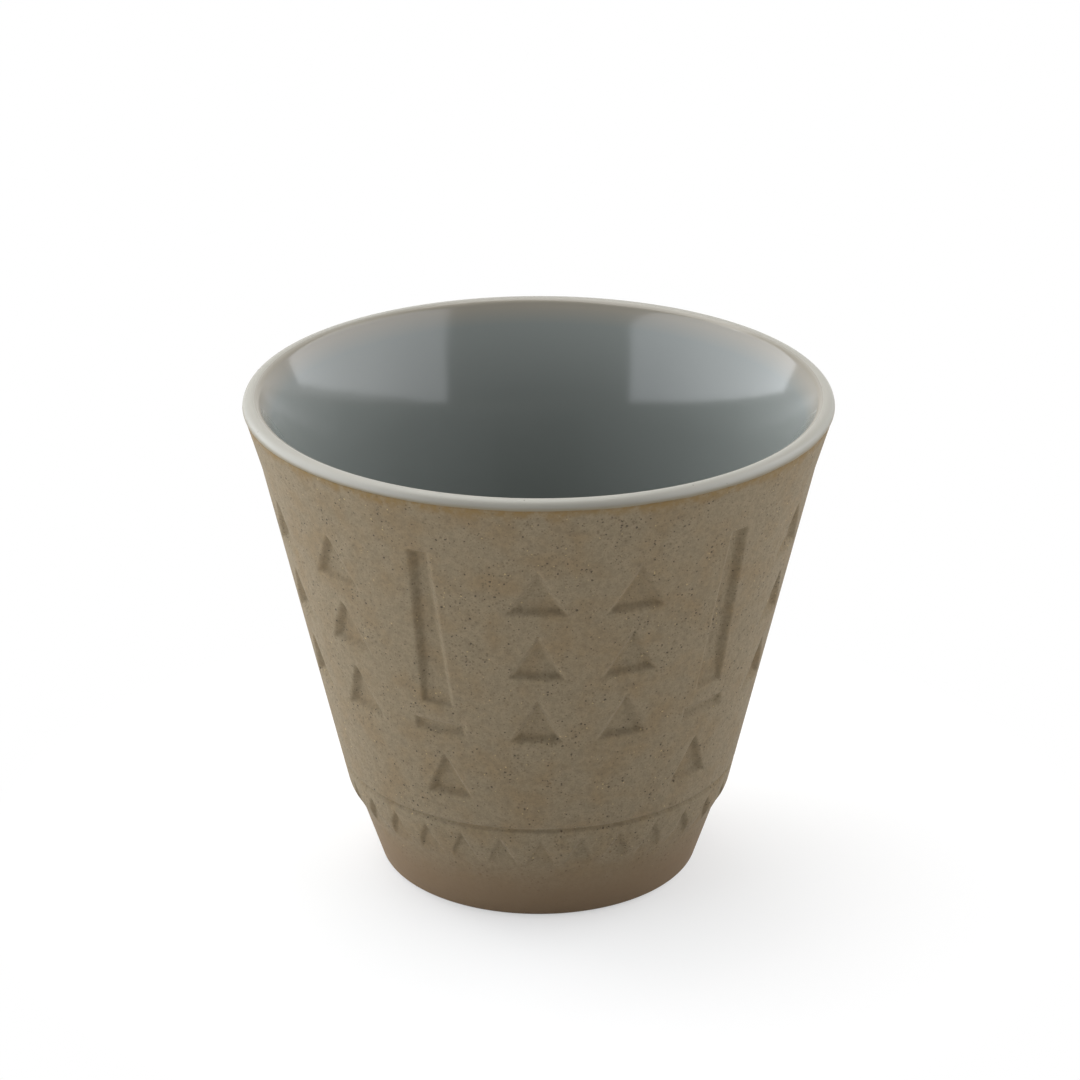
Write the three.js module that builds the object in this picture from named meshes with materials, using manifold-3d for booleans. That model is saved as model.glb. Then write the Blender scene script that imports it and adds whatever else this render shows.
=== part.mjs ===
import * as THREE from 'three';
import { mergeVertices } from 'three/addons/utils/BufferGeometryUtils.js';
import Module from 'manifold-3d';

// Handleless stoneware coffee cup: a cone of bare fired clay with a stamped ornament outside,
// lined with glaze that runs over the lip. Millimetres, +Z up, and the origin on the table
// under the middle of the foot. Angles run from the front, which faces -Y, towards +X.

// Whole cup
const CUP_HEIGHT = 77;
const RIM_RADIUS = 45;
const WALL_BASE_RADIUS = 26.85;
const BASE_WALL_THICKNESS = 5.5;
const FLOOR_HEIGHT = 5.6;
const FLOOR_CORNER_RADIUS = 9;

// Lip: the rim flares a little out of the straight wall and rounds over. Inside, a wide round thins
// the wall towards the lip, and meets the lip's own round at this lean.
const LIP_THICKNESS = 3;
const LIP_OUTER_RADIUS = 1.4;
const RIM_FLARE = 0.5;
const FLARE_HEIGHT = 9.5;
const INNER_FLARE_RADIUS = 50;
const INNER_FLARE_LEAN = 34;

// Glaze coat, which ends on the outer round of the lip at this angle above the level
const GLAZE_THICKNESS = 0.15;
const GLAZE_SEAT_GAP = 0.03;
const GLAZE_EDGE = 0.12;
const GLAZE_EDGE_ANGLE = 3;

// Foot
const FOOT_SET_IN = 1.42;
const FOOT_LEAN = 16.7;
const FOOT_STEP_TOP = 13.7;
const FOOT_STEP_BOTTOM = 9.2;
const HEEL_RADIUS = 2;
const FOOT_RING_WIDTH = 4.2;
const UNDERSIDE_RECESS = 1.2;
const UNDERSIDE_SLOPE = 1.4;

// Groove that closes the foot band
const GROOVE_HEIGHT = 17.9;
const GROOVE_WIDTH = 1;
const GROOVE_DEPTH = 0.35;

// Sawtooth fringe below the groove
const FRINGE_COUNT = 31;
const FRINGE_FIRST_ANGLE = 0.6;
const FRINGE_APEX_GAP = 0.6;
const FRINGE_TIP_HEIGHT = 11;
const FRINGE_RUN_OUT = 4;
const FRINGE_DEPTH = 0.9;
const FRINGE_DRAFT = 0.5;

// Stamped ornament: five groups of one bar and two columns, spaced by hand around the wall
const GROUP_ANGLES = [-93.6, -24.4, 44.4, 118.4, 192.4];
const COLUMN_OFFSETS = [24, 45.4];
const STAMP_DEPTH = 0.75;
const STAMP_DRAFT = 0.5;
const STAMP_HALF_ANGLE = 6.75;
const ROW_COUNT = 4;
const COLUMN_ROWS = 3;
const TRIANGLE_HEIGHT = 7.7;
const TRIANGLES_BELOW_RIM = 12.2;
const TRIANGLES_ABOVE_GROOVE = 4.7;
const BAR_BELOW_RIM = 10;
const BAR_TOP_WIDTH = 3.3;
const BAR_FOOT_WIDTH = 5.2;
const DASH_HEIGHT = 2.3;
const DASH_ABOVE_TRIANGLE = 3.8;
const BAR_ABOVE_DASH = 2.9;

// Smoothness of the turned surfaces
const TURN_STEPS = 60;
const ARC_STEPS = 3;

const QUARTER = Math.PI / 2;

// The lip is rounded on both sides of its crown. Its clay core is smaller by the glaze around it.
const coat = GLAZE_SEAT_GAP + GLAZE_THICKNESS;
const lipInnerRadius = LIP_THICKNESS - LIP_OUTER_RADIUS;
const clayOuterRound = LIP_OUTER_RADIUS - coat;
const clayInnerRound = lipInnerRadius - coat;
const crownRadius = RIM_RADIUS - LIP_OUTER_RADIUS;
const lipOuter = new THREE.Vector2(crownRadius, CUP_HEIGHT - LIP_OUTER_RADIUS);
const lipInner = new THREE.Vector2(crownRadius, CUP_HEIGHT - lipInnerRadius);
const glazeEdgeAngle = THREE.MathUtils.degToRad(GLAZE_EDGE_ANGLE);

// Lean of the line from a point below that passes a round on its outer side, at a distance
function leanPast(from, centre, distance) {
  const reach = centre.clone().sub(from);
  return Math.atan2(reach.x, reach.y) + Math.asin(distance / reach.length());
}

// The outer wall is a straight line from its foot. The flare leaves it and touches the clay lip.
const wallFoot = new THREE.Vector2(WALL_BASE_RADIUS, 0);
const wallLean = leanPast(wallFoot, lipOuter, clayOuterRound - RIM_FLARE);
const wallUp = new THREE.Vector2(Math.sin(wallLean), Math.cos(wallLean));
const wallOut = new THREE.Vector2(Math.cos(wallLean), -Math.sin(wallLean));
const wallRadius = (height) => WALL_BASE_RADIUS + height * Math.tan(wallLean);
const footLean = THREE.MathUtils.degToRad(FOOT_LEAN);
const footTop = wallRadius(FOOT_STEP_BOTTOM) - FOOT_SET_IN / Math.cos(wallLean);
const footRadius = (height) => footTop - (FOOT_STEP_BOTTOM - height) * Math.tan(footLean);
const flareFootHeight = CUP_HEIGHT - FLARE_HEIGHT;
const flareFoot = new THREE.Vector2(wallRadius(flareFootHeight), flareFootHeight);
const flareLean = leanPast(flareFoot, lipOuter, clayOuterRound);

// The inner flare continues the lip's round. The inner wall is a straight line that touches the
// flare on one side and the floor's corner round on the other.
const flareTopLean = THREE.MathUtils.degToRad(INNER_FLARE_LEAN);
const flareDirection = new THREE.Vector2(Math.cos(flareTopLean), -Math.sin(flareTopLean));
const innerFlare = flareDirection.multiplyScalar(INNER_FLARE_RADIUS - clayInnerRound).add(lipInner);
const cornerHeight = FLOOR_HEIGHT + FLOOR_CORNER_RADIUS;
const cornerInset = (FLOOR_CORNER_RADIUS + BASE_WALL_THICKNESS) / Math.cos(wallLean);
const corner = new THREE.Vector2(wallRadius(cornerHeight) - cornerInset, cornerHeight);
const innerLean = leanPast(corner, innerFlare, -FLOOR_CORNER_RADIUS - INNER_FLARE_RADIUS);
const flareTop = Math.PI - flareTopLean;
const flareBottom = Math.PI - innerLean;

// Solids from three.js geometry and back
const wasm = await Module();
wasm.setup();

function toSolid(geometry) {
  geometry.deleteAttribute('normal');
  geometry.deleteAttribute('uv');
  const merged = mergeVertices(geometry, 1e-5);
  const corners = merged.index.array;
  const triangles = [];
  for (let i = 0; i < corners.length; i += 3) {
    const [a, b, c] = corners.slice(i, i + 3);
    if (a !== b && b !== c && c !== a) {
      triangles.push(a, b, c);
    }
  }
  const vertProperties = Float32Array.from(merged.attributes.position.array);
  const triVerts = Uint32Array.from(triangles);
  return new wasm.Manifold(new wasm.Mesh({ numProp: 3, vertProperties, triVerts }));
}

function toGeometry(solid) {
  const { vertProperties, triVerts } = solid.getMesh();
  const geometry = new THREE.BufferGeometry();
  geometry.setAttribute('position', new THREE.BufferAttribute(vertProperties, 3));
  geometry.setIndex(new THREE.BufferAttribute(triVerts, 1));
  geometry.computeVertexNormals();
  return geometry;
}

function turn(points) {
  const geometry = new THREE.LatheGeometry(points, TURN_STEPS);
  geometry.rotateX(QUARTER);
  return toSolid(geometry);
}

// Clay: the underside and foot, the outer wall with its groove, the lip, then the hollow
function clayOutline() {
  const heelHeight = HEEL_RADIUS * (1 - Math.sin(footLean));
  const heelCentre = footRadius(heelHeight) - HEEL_RADIUS * Math.cos(footLean);
  const ringInside = heelCentre - FOOT_RING_WIDTH;
  const grooveHalf = GROOVE_WIDTH / 2;
  const outline = new THREE.Path();
  outline.moveTo(0, UNDERSIDE_RECESS);
  outline.lineTo(ringInside - UNDERSIDE_SLOPE, UNDERSIDE_RECESS);
  outline.lineTo(ringInside, 0);
  outline.absarc(heelCentre, HEEL_RADIUS, HEEL_RADIUS, -QUARTER, -footLean, false);
  outline.lineTo(footRadius(FOOT_STEP_BOTTOM), FOOT_STEP_BOTTOM);
  outline.lineTo(wallRadius(FOOT_STEP_TOP), FOOT_STEP_TOP);
  outline.lineTo(wallRadius(GROOVE_HEIGHT - grooveHalf), GROOVE_HEIGHT - grooveHalf);
  outline.lineTo(wallRadius(GROOVE_HEIGHT) - GROOVE_DEPTH, GROOVE_HEIGHT);
  outline.lineTo(wallRadius(GROOVE_HEIGHT + grooveHalf), GROOVE_HEIGHT + grooveHalf);
  outline.lineTo(flareFoot.x, flareFoot.y);
  outline.absarc(lipOuter.x, lipOuter.y, clayOuterRound, -flareLean, glazeEdgeAngle, false);
  outline.absarc(lipOuter.x, lipOuter.y, clayOuterRound, glazeEdgeAngle, QUARTER, false);
  outline.absarc(lipInner.x, lipInner.y, clayInnerRound, QUARTER, flareTop, false);
  outline.absarc(innerFlare.x, innerFlare.y, INNER_FLARE_RADIUS, flareTop, flareBottom, false);
  outline.absarc(corner.x, corner.y, FLOOR_CORNER_RADIUS, -innerLean, -QUARTER, true);
  outline.lineTo(0, FLOOR_HEIGHT);
  return outline.getPoints(ARC_STEPS);
}

// The hollow's surface from the floor over the lip, moved off the clay by an offset
function liningOutline(offset) {
  const floorRound = FLOOR_CORNER_RADIUS - offset;
  const flareRound = INNER_FLARE_RADIUS + offset;
  const innerRound = clayInnerRound + offset;
  const outerRound = clayOuterRound + offset;
  const outline = new THREE.Path();
  outline.moveTo(0, FLOOR_HEIGHT + offset);
  outline.lineTo(corner.x, FLOOR_HEIGHT + offset);
  outline.absarc(corner.x, corner.y, floorRound, -QUARTER, -innerLean, false);
  outline.absarc(innerFlare.x, innerFlare.y, flareRound, flareBottom, flareTop, true);
  outline.absarc(lipInner.x, lipInner.y, innerRound, flareTop, QUARTER, true);
  outline.absarc(lipOuter.x, lipOuter.y, outerRound, QUARTER, glazeEdgeAngle, true);
  return outline.getPoints(ARC_STEPS);
}

// Glaze: a thin coat between two parallel outlines that thins out at its edge on the lip
function glazeOutline() {
  const seat = liningOutline(GLAZE_SEAT_GAP);
  const surface = liningOutline(coat);
  const edgeRound = clayOuterRound + GLAZE_SEAT_GAP + GLAZE_EDGE;
  const edge = new THREE.Vector2(Math.cos(glazeEdgeAngle), Math.sin(glazeEdgeAngle));
  surface[surface.length - 1] = edge.multiplyScalar(edgeRound).add(lipOuter);
  return [...seat, ...surface.reverse()];
}

// One stamp: a flat nose with sloping sides, pressed square into the wall. Its outline is drawn
// on the wall, across and up from the point at this angle and height.
function stamp(outline, angle, height, depth, draft) {
  const shape = new THREE.Shape(outline.map(([across, up]) => new THREE.Vector2(across, up)));
  const geometry = new THREE.ExtrudeGeometry(shape, {
    depth,
    bevelThickness: depth,
    bevelSize: draft,
    bevelOffset: -draft,
    bevelSegments: 1,
  });
  const turnAngle = THREE.MathUtils.degToRad(angle);
  const across = new THREE.Vector3(Math.cos(turnAngle), Math.sin(turnAngle), 0);
  const radial = new THREE.Vector3(Math.sin(turnAngle), -Math.cos(turnAngle), 0);
  const along = (direction) =>
    radial.clone().multiplyScalar(direction.x).setZ(direction.y);
  const place = new THREE.Matrix4().makeBasis(across, along(wallUp), along(wallOut));
  place.setPosition(radial.clone().multiplyScalar(wallRadius(height)).setZ(height));
  geometry.applyMatrix4(place);
  return toSolid(geometry);
}

// Triangle outline, pointing up, with its base on the stamp's point
function triangle(halfWidth, height) {
  return [[-halfWidth, 0], [halfWidth, 0], [0, height]];
}

// Upright or lying bar outline, standing on the stamp's point
function bar(footWidth, topWidth, height) {
  const foot = footWidth / 2;
  const top = topWidth / 2;
  return [[-foot, 0], [foot, 0], [top, height], [-top, height]];
}

const onWall = (rise) => rise / Math.cos(wallLean);
const halfWidthAt = (height) =>
  wallRadius(height) * Math.sin(THREE.MathUtils.degToRad(STAMP_HALF_ANGLE));

// Rows of triangles, spread evenly between the rim and the groove
const topRowBase = CUP_HEIGHT - TRIANGLES_BELOW_RIM - TRIANGLE_HEIGHT;
const lastRowBase = GROOVE_HEIGHT + GROOVE_WIDTH / 2 + TRIANGLES_ABOVE_GROOVE;
const rowPitch = (topRowBase - lastRowBase) / (ROW_COUNT - 1);
const rowBase = (row) => topRowBase - row * rowPitch;

function triangleStamp(angle, row) {
  const base = rowBase(row);
  const outline = triangle(halfWidthAt(base), onWall(TRIANGLE_HEIGHT));
  return stamp(outline, angle, base, STAMP_DEPTH, STAMP_DRAFT);
}

// Bar, dash and single triangle, one above the other
function barStamps(angle) {
  const dashBase = lastRowBase + TRIANGLE_HEIGHT + DASH_ABOVE_TRIANGLE;
  const barBase = dashBase + DASH_HEIGHT + BAR_ABOVE_DASH;
  const barHeight = CUP_HEIGHT - BAR_BELOW_RIM - barBase;
  const dashWidth = 2 * halfWidthAt(dashBase);
  const barOutline = bar(BAR_FOOT_WIDTH, BAR_TOP_WIDTH, onWall(barHeight));
  const dashOutline = bar(dashWidth, dashWidth, onWall(DASH_HEIGHT));
  return [
    stamp(barOutline, angle, barBase, STAMP_DEPTH, STAMP_DRAFT),
    stamp(dashOutline, angle, dashBase, STAMP_DEPTH, STAMP_DRAFT),
    triangleStamp(angle, ROW_COUNT - 1),
  ];
}

function columnStamps(angle) {
  return Array.from({ length: COLUMN_ROWS }, (_, row) => triangleStamp(angle, row));
}

// Fringe: triangles whose bases meet, so that the clay left between them is a row of teeth. Each
// runs out below the tooth tips into the set-in foot.
function fringeStamps() {
  const pitch = 360 / FRINGE_COUNT;
  const apexHeight = GROOVE_HEIGHT - GROOVE_WIDTH / 2 - FRINGE_APEX_GAP;
  const halfPitch = wallRadius(FRINGE_TIP_HEIGHT) * Math.tan(Math.PI / FRINGE_COUNT);
  const baseHeight = FRINGE_TIP_HEIGHT - FRINGE_RUN_OUT;
  const rise = onWall(apexHeight - baseHeight);
  const runOut = onWall(FRINGE_RUN_OUT);
  const outline = [[-halfPitch, 0], [halfPitch, 0], [halfPitch, runOut], [0, rise], [-halfPitch, runOut]];
  return Array.from({ length: FRINGE_COUNT }, (_, tooth) =>
    stamp(outline, FRINGE_FIRST_ANGLE + tooth * pitch, baseHeight, FRINGE_DEPTH, FRINGE_DRAFT));
}

function stonewareBody() {
  const groups = GROUP_ANGLES.flatMap((angle) => [
    ...barStamps(angle),
    ...COLUMN_OFFSETS.flatMap((offset) => columnStamps(angle + offset)),
  ]);
  const stamps = [...groups, ...fringeStamps()];
  const relief = stamps.reduce((joined, one) => joined.add(one));
  return toGeometry(turn(clayOutline()).subtract(relief));
}

function glazeLining() {
  return toGeometry(turn(glazeOutline()));
}

function piece(name, geometry, finish) {
  const mesh = new THREE.Mesh(geometry, new THREE.MeshStandardMaterial(finish));
  mesh.name = name;
  return mesh;
}

const cup = new THREE.Group();
cup.add(piece('stoneware_body', stonewareBody(), { color: 0x7e725c, roughness: 0.88, metalness: 0 }));
cup.add(piece('glaze_lining', glazeLining(), { color: 0x80847f, roughness: 0.13, metalness: 0 }));

export default cup;
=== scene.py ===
# %% [markdown]
# # A stamped stoneware coffee cup
#
# The cup is one cone of fired clay, bare and matt outside, with rows of stamped triangles and bars.
# A coat of grey celadon glaze lines the inside and runs over the lip. This lesson dresses the two
# solids of the part: it turns the clay on its own outline, presses the ornament into the wall with
# Geometry Nodes, lays the glaze over the lip, and lights both on a white table.
#
# The first cell loads the solids. Their box is the size that everything here has to keep to, less a
# little room for the uneven edge of the glaze.

# %% Load the solids
import math

import bpy
import numpy as np
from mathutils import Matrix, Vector


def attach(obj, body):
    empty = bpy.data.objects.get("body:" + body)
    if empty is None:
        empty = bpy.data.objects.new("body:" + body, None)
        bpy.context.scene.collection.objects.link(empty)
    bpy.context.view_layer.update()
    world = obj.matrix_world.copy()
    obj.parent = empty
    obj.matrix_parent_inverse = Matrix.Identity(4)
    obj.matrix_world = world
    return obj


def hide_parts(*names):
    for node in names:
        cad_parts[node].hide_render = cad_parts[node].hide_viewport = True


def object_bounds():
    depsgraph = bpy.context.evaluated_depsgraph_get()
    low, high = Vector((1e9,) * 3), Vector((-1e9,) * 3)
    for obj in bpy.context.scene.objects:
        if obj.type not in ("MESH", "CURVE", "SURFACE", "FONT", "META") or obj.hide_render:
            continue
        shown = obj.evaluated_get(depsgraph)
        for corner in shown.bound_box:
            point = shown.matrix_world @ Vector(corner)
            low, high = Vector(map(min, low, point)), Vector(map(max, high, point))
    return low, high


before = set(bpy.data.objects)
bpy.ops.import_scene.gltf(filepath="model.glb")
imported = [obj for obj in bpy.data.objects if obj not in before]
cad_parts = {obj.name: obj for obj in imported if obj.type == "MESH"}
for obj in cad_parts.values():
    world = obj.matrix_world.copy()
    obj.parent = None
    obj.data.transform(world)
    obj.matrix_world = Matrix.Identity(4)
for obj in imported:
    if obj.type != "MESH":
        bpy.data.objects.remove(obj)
cad_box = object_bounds()

MM = 0.001
EDGE_ROOM = 0.04
cup_height = cad_box[1].z / MM - EDGE_ROOM
rim_radius = cad_box[1].x / MM - EDGE_ROOM
print(f"rim radius {rim_radius:.2f} mm, height {cup_height:.2f} mm")

# %% [markdown]
# ## Camera
#
# A long lens from about half a metre looks a little down into the cup, which keeps the rim a clean
# ellipse and the wall nearly straight. The camera could be aimed by eye; here its distance, height
# and lens come from fitting the rim and the foot, so that the render lines up with the object.

# %% Aim the camera
CAMERA_DISTANCE = 596.5
CAMERA_ELEVATION = math.radians(22.787)
CAMERA_TARGET = Vector((0.2, 0, 52.4))
LENS = 128.86

camera_data = bpy.data.cameras.new("camera")
camera_data.lens = LENS
camera = bpy.data.objects.new("camera", camera_data)
back = Vector((0, -math.cos(CAMERA_ELEVATION), math.sin(CAMERA_ELEVATION)))
camera.location = (CAMERA_TARGET + back * CAMERA_DISTANCE) * MM
camera.rotation_euler = (math.pi / 2 - CAMERA_ELEVATION, 0, 0)
bpy.context.scene.collection.objects.link(camera)
bpy.context.scene.camera = camera
print("camera at", [round(x, 4) for x in camera.location])

# %% [markdown]
# ## Colours and nodes
#
# Colours are picked as sRGB hex values, the way a screen shows them, while Cycles works in linear
# light, so one function converts them. Every node tree below is built with one more function,
# which adds a node, sets its properties and fills its inputs with plain values or links. A third
# turns the size of a pattern, in millimetres on the cup, into the scale of its texture.

# %% Three helpers
def linear(hex_colour):
    """An sRGB hex colour as linear RGBA."""
    channels = [int(hex_colour[i:i + 2], 16) / 255 for i in (1, 3, 5)]
    return [c / 12.92 if c <= 0.04045 else ((c + 0.055) / 1.055) ** 2.4 for c in channels] + [1.0]


def add(tree, kind, inputs=None, **settings):
    """Adds a node. An input takes a value, a socket, or a node, whose first output it uses."""
    node = tree.nodes.new(kind)
    for name, value in settings.items():
        setattr(node, name, value)
    for key, value in (inputs or {}).items():
        if isinstance(value, bpy.types.Node):
            value = next(s for s in value.outputs if s.enabled)
        if isinstance(value, bpy.types.NodeSocket):
            tree.links.new(value, node.inputs[key])
        else:
            node.inputs[key].default_value = value
    return node


def per_mm(size):
    """The texture scale at which one cell of a pattern is this many millimetres."""
    return 1 / (size * MM)


print("mid grey in linear light:", round(linear("#808080")[0], 3))

# %% [markdown]
# ## The outline of the clay
#
# A cup like this is turned or jiggered: one outline goes round the axis. The outline is drawn here
# in millimetres as a list of points (radius, height), from the middle of the underside, over the
# foot and up the wall, round the lip and down to the middle of the floor. It could be a curve drawn
# by hand, but arcs and lines that are worked out from a few sizes stay true when a size changes. The
# wall is a straight line that just touches the lip, so its lean follows from the rim, the lip and
# the foot.

# %% Wall, flare and lip
WALL_BASE_RADIUS = 26.85
LIP_THICKNESS = 3.0
LIP_OUTER_ROUND = 1.4
RIM_FLARE = 0.5
FLARE_HEIGHT = 9.5
GLAZE_THICKNESS = 0.15
GLAZE_SEAT_GAP = 0.03
# The coat ends at this angle on the outer round of the lip, where it is a little thinner.
GLAZE_EDGE_ANGLE = math.radians(3)
GLAZE_EDGE = 0.12


def direction(angle):
    """A unit step at an angle above the outward radius."""
    return Vector((math.cos(angle), math.sin(angle)))


def lean_past(start, centre, distance):
    """Lean of the line from a point below that passes a round on its outer side."""
    reach = centre - start
    return math.atan2(reach.x, reach.y) + math.asin(distance / reach.length)


# The widest point of the solids is the edge of the glaze, which gives the middle of the lip's round.
coat = GLAZE_SEAT_GAP + GLAZE_THICKNESS
outer_round = LIP_OUTER_ROUND - coat
inner_round = LIP_THICKNESS - LIP_OUTER_ROUND - coat
edge_reach = (outer_round + GLAZE_SEAT_GAP + GLAZE_EDGE) * math.cos(GLAZE_EDGE_ANGLE)
lip_outer = Vector((rim_radius - edge_reach, cup_height - LIP_OUTER_ROUND))
lip_inner = Vector((lip_outer.x, cup_height - LIP_THICKNESS + LIP_OUTER_ROUND))

wall_lean = lean_past(Vector((WALL_BASE_RADIUS, 0)), lip_outer, outer_round - RIM_FLARE)
wall_out = direction(-wall_lean)


def on_wall(height, set_in=0):
    """A point of the wall's cone at a height, moved in square to the wall."""
    return Vector((WALL_BASE_RADIUS + height * math.tan(wall_lean), height)) - wall_out * set_in


def arc(centre, radius, start, end, steps):
    """Points along an arc, with angles in radians from the outward radius."""
    return [centre + direction(a) * radius for a in np.linspace(start, end, steps + 1)]


def smooth(value, start, end):
    """0 before start, 1 after end, and an S curve between them."""
    t = min(max((value - start) / (end - start), 0), 1)
    return t * t * (3 - 2 * t)


flare_foot = on_wall(cup_height - FLARE_HEIGHT)
flare_lean = lean_past(flare_foot, lip_outer, outer_round)
print(f"the wall leans out by {math.degrees(wall_lean):.2f} degrees, the rim by "
      f"{math.degrees(flare_lean):.2f}")

# %% [markdown]
# ## Foot, groove and inside
#
# The foot was trimmed after the wall: it is set in, leans in more than the wall does, and meets it
# in a soft step, with a thin groove above. They could be cut into a finished cup. Here each row of
# the wall is moved in by its own depth, which keeps one clean grid for the stamps to press into.

# %% Foot, groove and inside
BASE_WALL_THICKNESS = 5.5
FLOOR_HEIGHT = 5.6
FLOOR_CORNER = 9
INNER_FLARE_ROUND = 50
INNER_FLARE_LEAN = math.radians(34)
HEEL_ROUND = 1.6
FOOT_RING_WIDTH = 4.2
UNDERSIDE_RECESS = 1.2
UNDERSIDE_SLOPE = 1.4
FOOT_SET_IN = 1.28
FOOT_LEAN = math.radians(18.5)
FOOT_STEP_TOP = 14.4
FOOT_STEP_BOTTOM = 8.7
GROOVE_HEIGHT = 17.9
GROOVE_HALF = 0.62
GROOVE_DEPTH = 0.4

corner_height = FLOOR_HEIGHT + FLOOR_CORNER
corner_inset = (FLOOR_CORNER + BASE_WALL_THICKNESS) / math.cos(wall_lean)
corner = Vector((on_wall(corner_height).x - corner_inset, corner_height))
inner_flare = lip_inner + direction(-INNER_FLARE_LEAN) * (INNER_FLARE_ROUND - inner_round)
inner_lean = lean_past(corner, inner_flare, -FLOOR_CORNER - INNER_FLARE_ROUND)
flare_top = math.pi - INNER_FLARE_LEAN
flare_bottom = math.pi - inner_lean

# The foot leans in more than the wall does, so its set-in grows towards the table.
foot_taper = (math.tan(FOOT_LEAN) - math.tan(wall_lean)) / (
    math.cos(wall_lean) + math.sin(wall_lean) * math.tan(FOOT_LEAN))


def set_in_at(height):
    """How far the turned foot and groove lie inside the wall's cone."""
    foot_inset = FOOT_SET_IN + foot_taper * max(0, FOOT_STEP_BOTTOM - height)
    step = foot_inset * (1 - smooth(height, FOOT_STEP_BOTTOM, FOOT_STEP_TOP))
    groove = GROOVE_DEPTH * (1 - smooth(abs(height - GROOVE_HEIGHT), 0, GROOVE_HALF))
    return step + groove


print(f"the foot is set in by {set_in_at(FOOT_STEP_BOTTOM):.2f} mm and by {set_in_at(0):.2f} mm at the "
      f"table; the inside leans {math.degrees(inner_lean):.2f} degrees")

# %% [markdown]
# ## Rows of the outline
#
# The outline is now split into rows. Flat stretches need few of them, and the stamped wall needs many,
# because a stamp's side is only as smooth as the grid that it is pressed into. Each point also keeps
# its height on the plain cone and how far it is already set in from it. The ornament needs both: a
# stamp never lifts clay that the foot or the groove has taken away.

# %% Rows of the outline
# The rows are this far apart up to each height: foot, sawtooth band, groove and the plain band above.
ROW_BANDS = [(7.5, 0.85), (17.2, 0.3), (18.6, 0.1), (22.2, 0.6)]
STAMPED_SPACING = 0.22
UNDERSIDE_ROWS = 6
RECESS_ROWS = 5
HEEL_ROWS = 9
RIM_ROWS = 8
LIP_ROWS = 12
INNER_LIP_ROWS = 6
INNER_FLARE_ROWS = 8
INSIDE_ROWS = 10
CORNER_ROWS = 9
FLOOR_ROWS = 4
NO_STAMP = 99.0


def wall_heights(bottom, top):
    """Heights of the rows up the wall: closer together where the stamps and the groove need it."""
    spans = []
    for end, spacing in ROW_BANDS + [(top, STAMPED_SPACING)]:
        count = max(1, round((end - bottom) / spacing))
        spans.append(np.linspace(bottom, end, count, endpoint=False))
        bottom = end
    return np.concatenate(spans)


foot_point = on_wall(0, set_in_at(0))
heel_reach = HEEL_ROUND + (foot_point.y - HEEL_ROUND) * math.sin(FOOT_LEAN)
heel = Vector((foot_point.x - heel_reach / math.cos(FOOT_LEAN), HEEL_ROUND))
heel_top = HEEL_ROUND * (1 - math.sin(FOOT_LEAN))
ring_inside = heel.x - FOOT_RING_WIDTH
recess_edge = ring_inside - UNDERSIDE_SLOPE

underside = [Vector((r, UNDERSIDE_RECESS)) for r in np.linspace(0, recess_edge, UNDERSIDE_ROWS)]
underside += [Vector((recess_edge + UNDERSIDE_SLOPE * t, UNDERSIDE_RECESS * (1 - smooth(t, 0, 1))))
              for t in np.linspace(0, 1, RECESS_ROWS + 1)[1:]]
foot = arc(heel, HEEL_ROUND, -math.pi / 2, -FOOT_LEAN, HEEL_ROWS)
heights = wall_heights(heel_top, flare_foot.y)
wall = [on_wall(h, set_in_at(h)) for h in heights]
outer_lip = arc(lip_outer, outer_round, -flare_lean, math.pi / 2, LIP_ROWS)
flare = [flare_foot.lerp(outer_lip[0], t) for t in np.linspace(0, 1, RIM_ROWS)[:-1]]
inner_lip = arc(lip_inner, inner_round, math.pi / 2, flare_top, INNER_LIP_ROWS)[1:]
inner_lip += arc(inner_flare, INNER_FLARE_ROUND, flare_top, flare_bottom, INNER_FLARE_ROWS)[1:]
hollow_corner = arc(corner, FLOOR_CORNER, -inner_lean, -math.pi / 2, CORNER_ROWS)
inner_wall = [inner_lip[-1].lerp(hollow_corner[0], t) for t in np.linspace(0, 1, INSIDE_ROWS)[1:-1]]
hollow_floor = [Vector((r, FLOOR_HEIGHT)) for r in np.linspace(corner.x, 0, FLOOR_ROWS)[1:]]

below = underside + foot
above = flare + outer_lip + inner_lip + inner_wall + hollow_corner + hollow_floor
clay_outline = below + wall + above
clay_marks = [(0.0, NO_STAMP)] * len(below)
clay_marks += [(h, set_in_at(h)) for h in heights]
clay_marks += [(0.0, NO_STAMP)] * len(above)
print(f"{len(clay_outline)} rows, {len(wall)} of them on the wall; foot ring {ring_inside:.1f} "
      f"to {heel.x:.1f} mm from the axis")

# %% [markdown]
# ## The stamps
#
# Each mark is a small stamp pressed into the leather-hard clay: a triangle, a lying dash or a long
# bar. They stand in five groups, spaced by hand: a bar with a dash and a triangle under it, then two
# columns of three triangles. The marks could be modelled one by one on the slanting wall. But a cone
# can be unrolled: across is the angle times one radius, up is the height. In that flat drawing a
# stamp is just a point with a kind, and Geometry Nodes put the right shape on each point.

# %% Places of the stamps
UNROLL_RADIUS = 36.0
GROUP_ANGLES = [-93.6, -24.4, 44.4, 118.4, 192.4]
COLUMN_OFFSETS = [24, 45.4]
TRIANGLE, DASH, BAR = 0, 1, 2
TRIANGLE_HEIGHT = 7.7
ROW_BASES = [57.1, 45.8, 34.4, 23.1]
DASH_HEIGHT = 2.3
DASH_BASE = 34.6
BAR_BASE = 39.8
BAR_TOP = 67.0

across = math.radians(1) * UNROLL_RADIUS


def unrolled(angle, base, height):
    """Middle of a stamp in the flat drawing, with its angle kept within half a turn."""
    turned = (angle + 180) % 360 - 180
    return (turned * across, base + height / 2, 0)


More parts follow.
